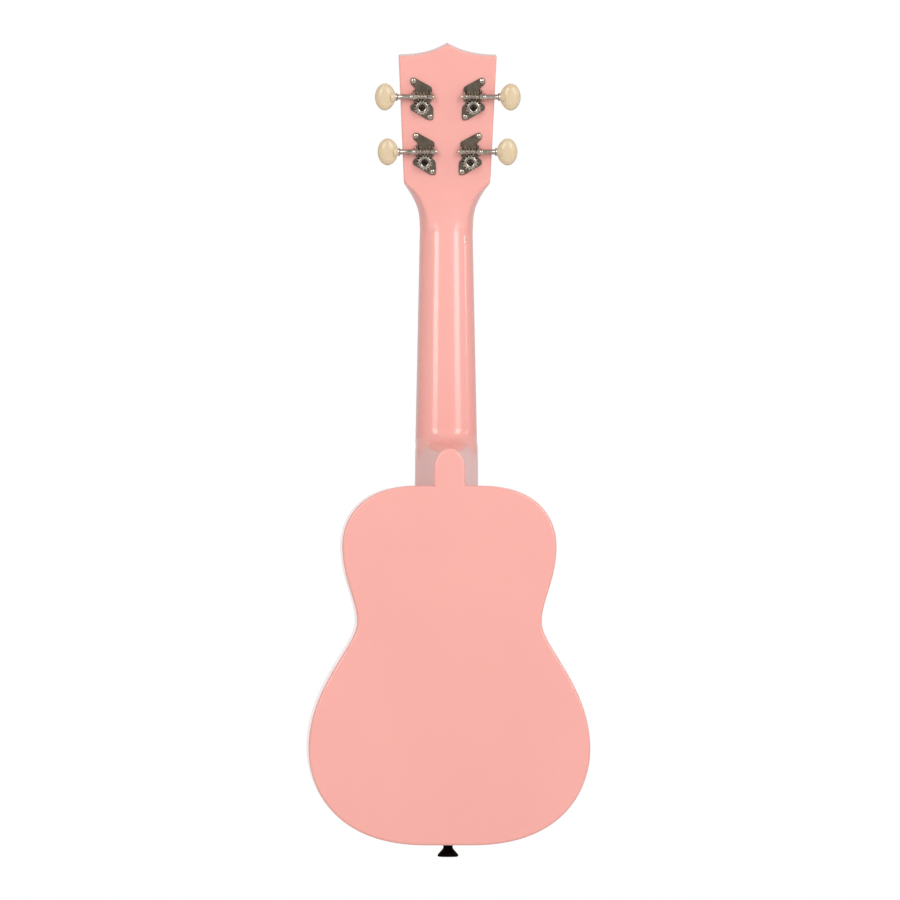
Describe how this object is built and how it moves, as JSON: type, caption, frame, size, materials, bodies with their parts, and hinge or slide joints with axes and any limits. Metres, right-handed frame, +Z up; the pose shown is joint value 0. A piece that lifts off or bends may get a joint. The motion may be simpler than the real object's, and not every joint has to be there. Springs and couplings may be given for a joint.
{
  "type": "ukulele",
  "caption": "Soprano ukulele: hollow waisted body, heel and neck in one piece, tilted headstock, open worm-gear tuning machines, strung over saddle and nut.",
  "frame": {"origin": "on the centre line at the nut, in the plane where the fingerboard is glued to the neck", "axes": "+Z up the neck towards the headstock, +Y out of the playing side, +X to the right as seen from behind"},
  "size_m": [0.185, 0.0703, 0.5368],
  "materials": {
    "pink_paint": "opaque pink satin lacquer over laminated wood",
    "bare_wood": "unfinished softwood inside the body",
    "dark_wood": "dark open-grained hardwood, oiled",
    "nickel": "nickel-plated steel, lightly tarnished",
    "dark_steel": "blackened steel screws",
    "cream_plastic": "moulded cream plastic",
    "ivory_plastic": "sawn and polished bone-white plastic",
    "black_plastic": "moulded black plastic",
    "nylon": "extruded clear-white nylon monofilament"
  },
  "bodies": {
    "instrument": {"soundboard": "pink_paint", "back_plate": "pink_paint", "side_left": "pink_paint", "side_right": "pink_paint", "neck": "pink_paint", "neck_block": "bare_wood", "tail_block": "bare_wood", "neck_dowel_upper": "bare_wood", "neck_dowel_lower": "bare_wood", "front_lining_left": "bare_wood", "front_lining_right": "bare_wood", "back_lining_left": "bare_wood", "back_lining_right": "bare_wood", "top_brace_upper": "bare_wood", "top_brace_lower": "bare_wood", "back_brace_upper": "bare_wood", "back_brace_lower": "bare_wood", "bridge_plate": "bare_wood", "bridge": "dark_wood", "fingerboard": "dark_wood", "saddle": "ivory_plastic", "nut": "ivory_plastic", "strap_button": "black_plastic", "strap_button_screw": "dark_steel", "string_1": "nylon", "string_2": "nylon", "string_3": "nylon", "string_4": "nylon", "tuner_plate_left_lower": "nickel", "post_bushing_left_lower": "nickel", "tuner_plate_right_lower": "nickel", "post_bushing_right_lower": "nickel", "tuner_plate_left_upper": "nickel", "post_bushing_left_upper": "nickel", "tuner_plate_right_upper": "nickel", "post_bushing_right_upper": "nickel"},
    "knob_left_lower": {"worm_shaft_left_lower": "nickel", "tuner_button_left_lower": "cream_plastic"},
    "post_left_lower": {"string_post_left_lower": "nickel", "worm_wheel_left_lower": "nickel", "wheel_screw_left_lower": "dark_steel", "string_winding_left_lower": "nylon"},
    "knob_right_lower": {"worm_shaft_right_lower": "nickel", "tuner_button_right_lower": "cream_plastic"},
    "post_right_lower": {"string_post_right_lower": "nickel", "worm_wheel_right_lower": "nickel", "wheel_screw_right_lower": "dark_steel", "string_winding_right_lower": "nylon"},
    "knob_left_upper": {"worm_shaft_left_upper": "nickel", "tuner_button_left_upper": "cream_plastic"},
    "post_left_upper": {"string_post_left_upper": "nickel", "worm_wheel_left_upper": "nickel", "wheel_screw_left_upper": "dark_steel", "string_winding_left_upper": "nylon"},
    "knob_right_upper": {"worm_shaft_right_upper": "nickel", "tuner_button_right_upper": "cream_plastic"},
    "post_right_upper": {"string_post_right_upper": "nickel", "worm_wheel_right_upper": "nickel", "wheel_screw_right_upper": "dark_steel", "string_winding_right_upper": "nylon"}
  },
  "joints": [
    {"name": "turn_knob_left_lower", "type": "hinge", "parent": "instrument", "child": "knob_left_lower", "pos_m": [-0.0151, -0.02245, 0.04688], "axis": [1, 0, 0], "continuous": true},
    {"name": "turn_post_left_lower", "type": "hinge", "parent": "instrument", "child": "post_left_lower", "pos_m": [-0.0151, -0.0171, 0.04047], "axis": [0, 0.9903, 0.1392], "continuous": true},
    {"name": "turn_knob_right_lower", "type": "hinge", "parent": "instrument", "child": "knob_right_lower", "pos_m": [0.0151, -0.02245, 0.04688], "axis": [1, 0, 0], "continuous": true},
    {"name": "turn_post_right_lower", "type": "hinge", "parent": "instrument", "child": "post_right_lower", "pos_m": [0.0151, -0.0171, 0.04047], "axis": [0, 0.9903, 0.1392], "continuous": true},
    {"name": "turn_knob_left_upper", "type": "hinge", "parent": "instrument", "child": "knob_left_upper", "pos_m": [-0.017, -0.02751, 0.08293], "axis": [1, 0, 0], "continuous": true},
    {"name": "turn_post_left_upper", "type": "hinge", "parent": "instrument", "child": "post_left_upper", "pos_m": [-0.017, -0.02217, 0.07651], "axis": [0, 0.9903, 0.1392], "continuous": true},
    {"name": "turn_knob_right_upper", "type": "hinge", "parent": "instrument", "child": "knob_right_upper", "pos_m": [0.017, -0.02751, 0.08293], "axis": [1, 0, 0], "continuous": true},
    {"name": "turn_post_right_upper", "type": "hinge", "parent": "instrument", "child": "post_right_upper", "pos_m": [0.017, -0.02217, 0.07651], "axis": [0, 0.9903, 0.1392], "continuous": true}
  ],
  "couplings": [
    {"joint": "turn_post_left_lower", "follows": "turn_knob_left_lower", "ratio": -0.071429},
    {"joint": "turn_post_right_lower", "follows": "turn_knob_right_lower", "ratio": -0.071429},
    {"joint": "turn_post_left_upper", "follows": "turn_knob_left_upper", "ratio": -0.071429},
    {"joint": "turn_post_right_upper", "follows": "turn_knob_right_upper", "ratio": -0.071429}
  ]
}
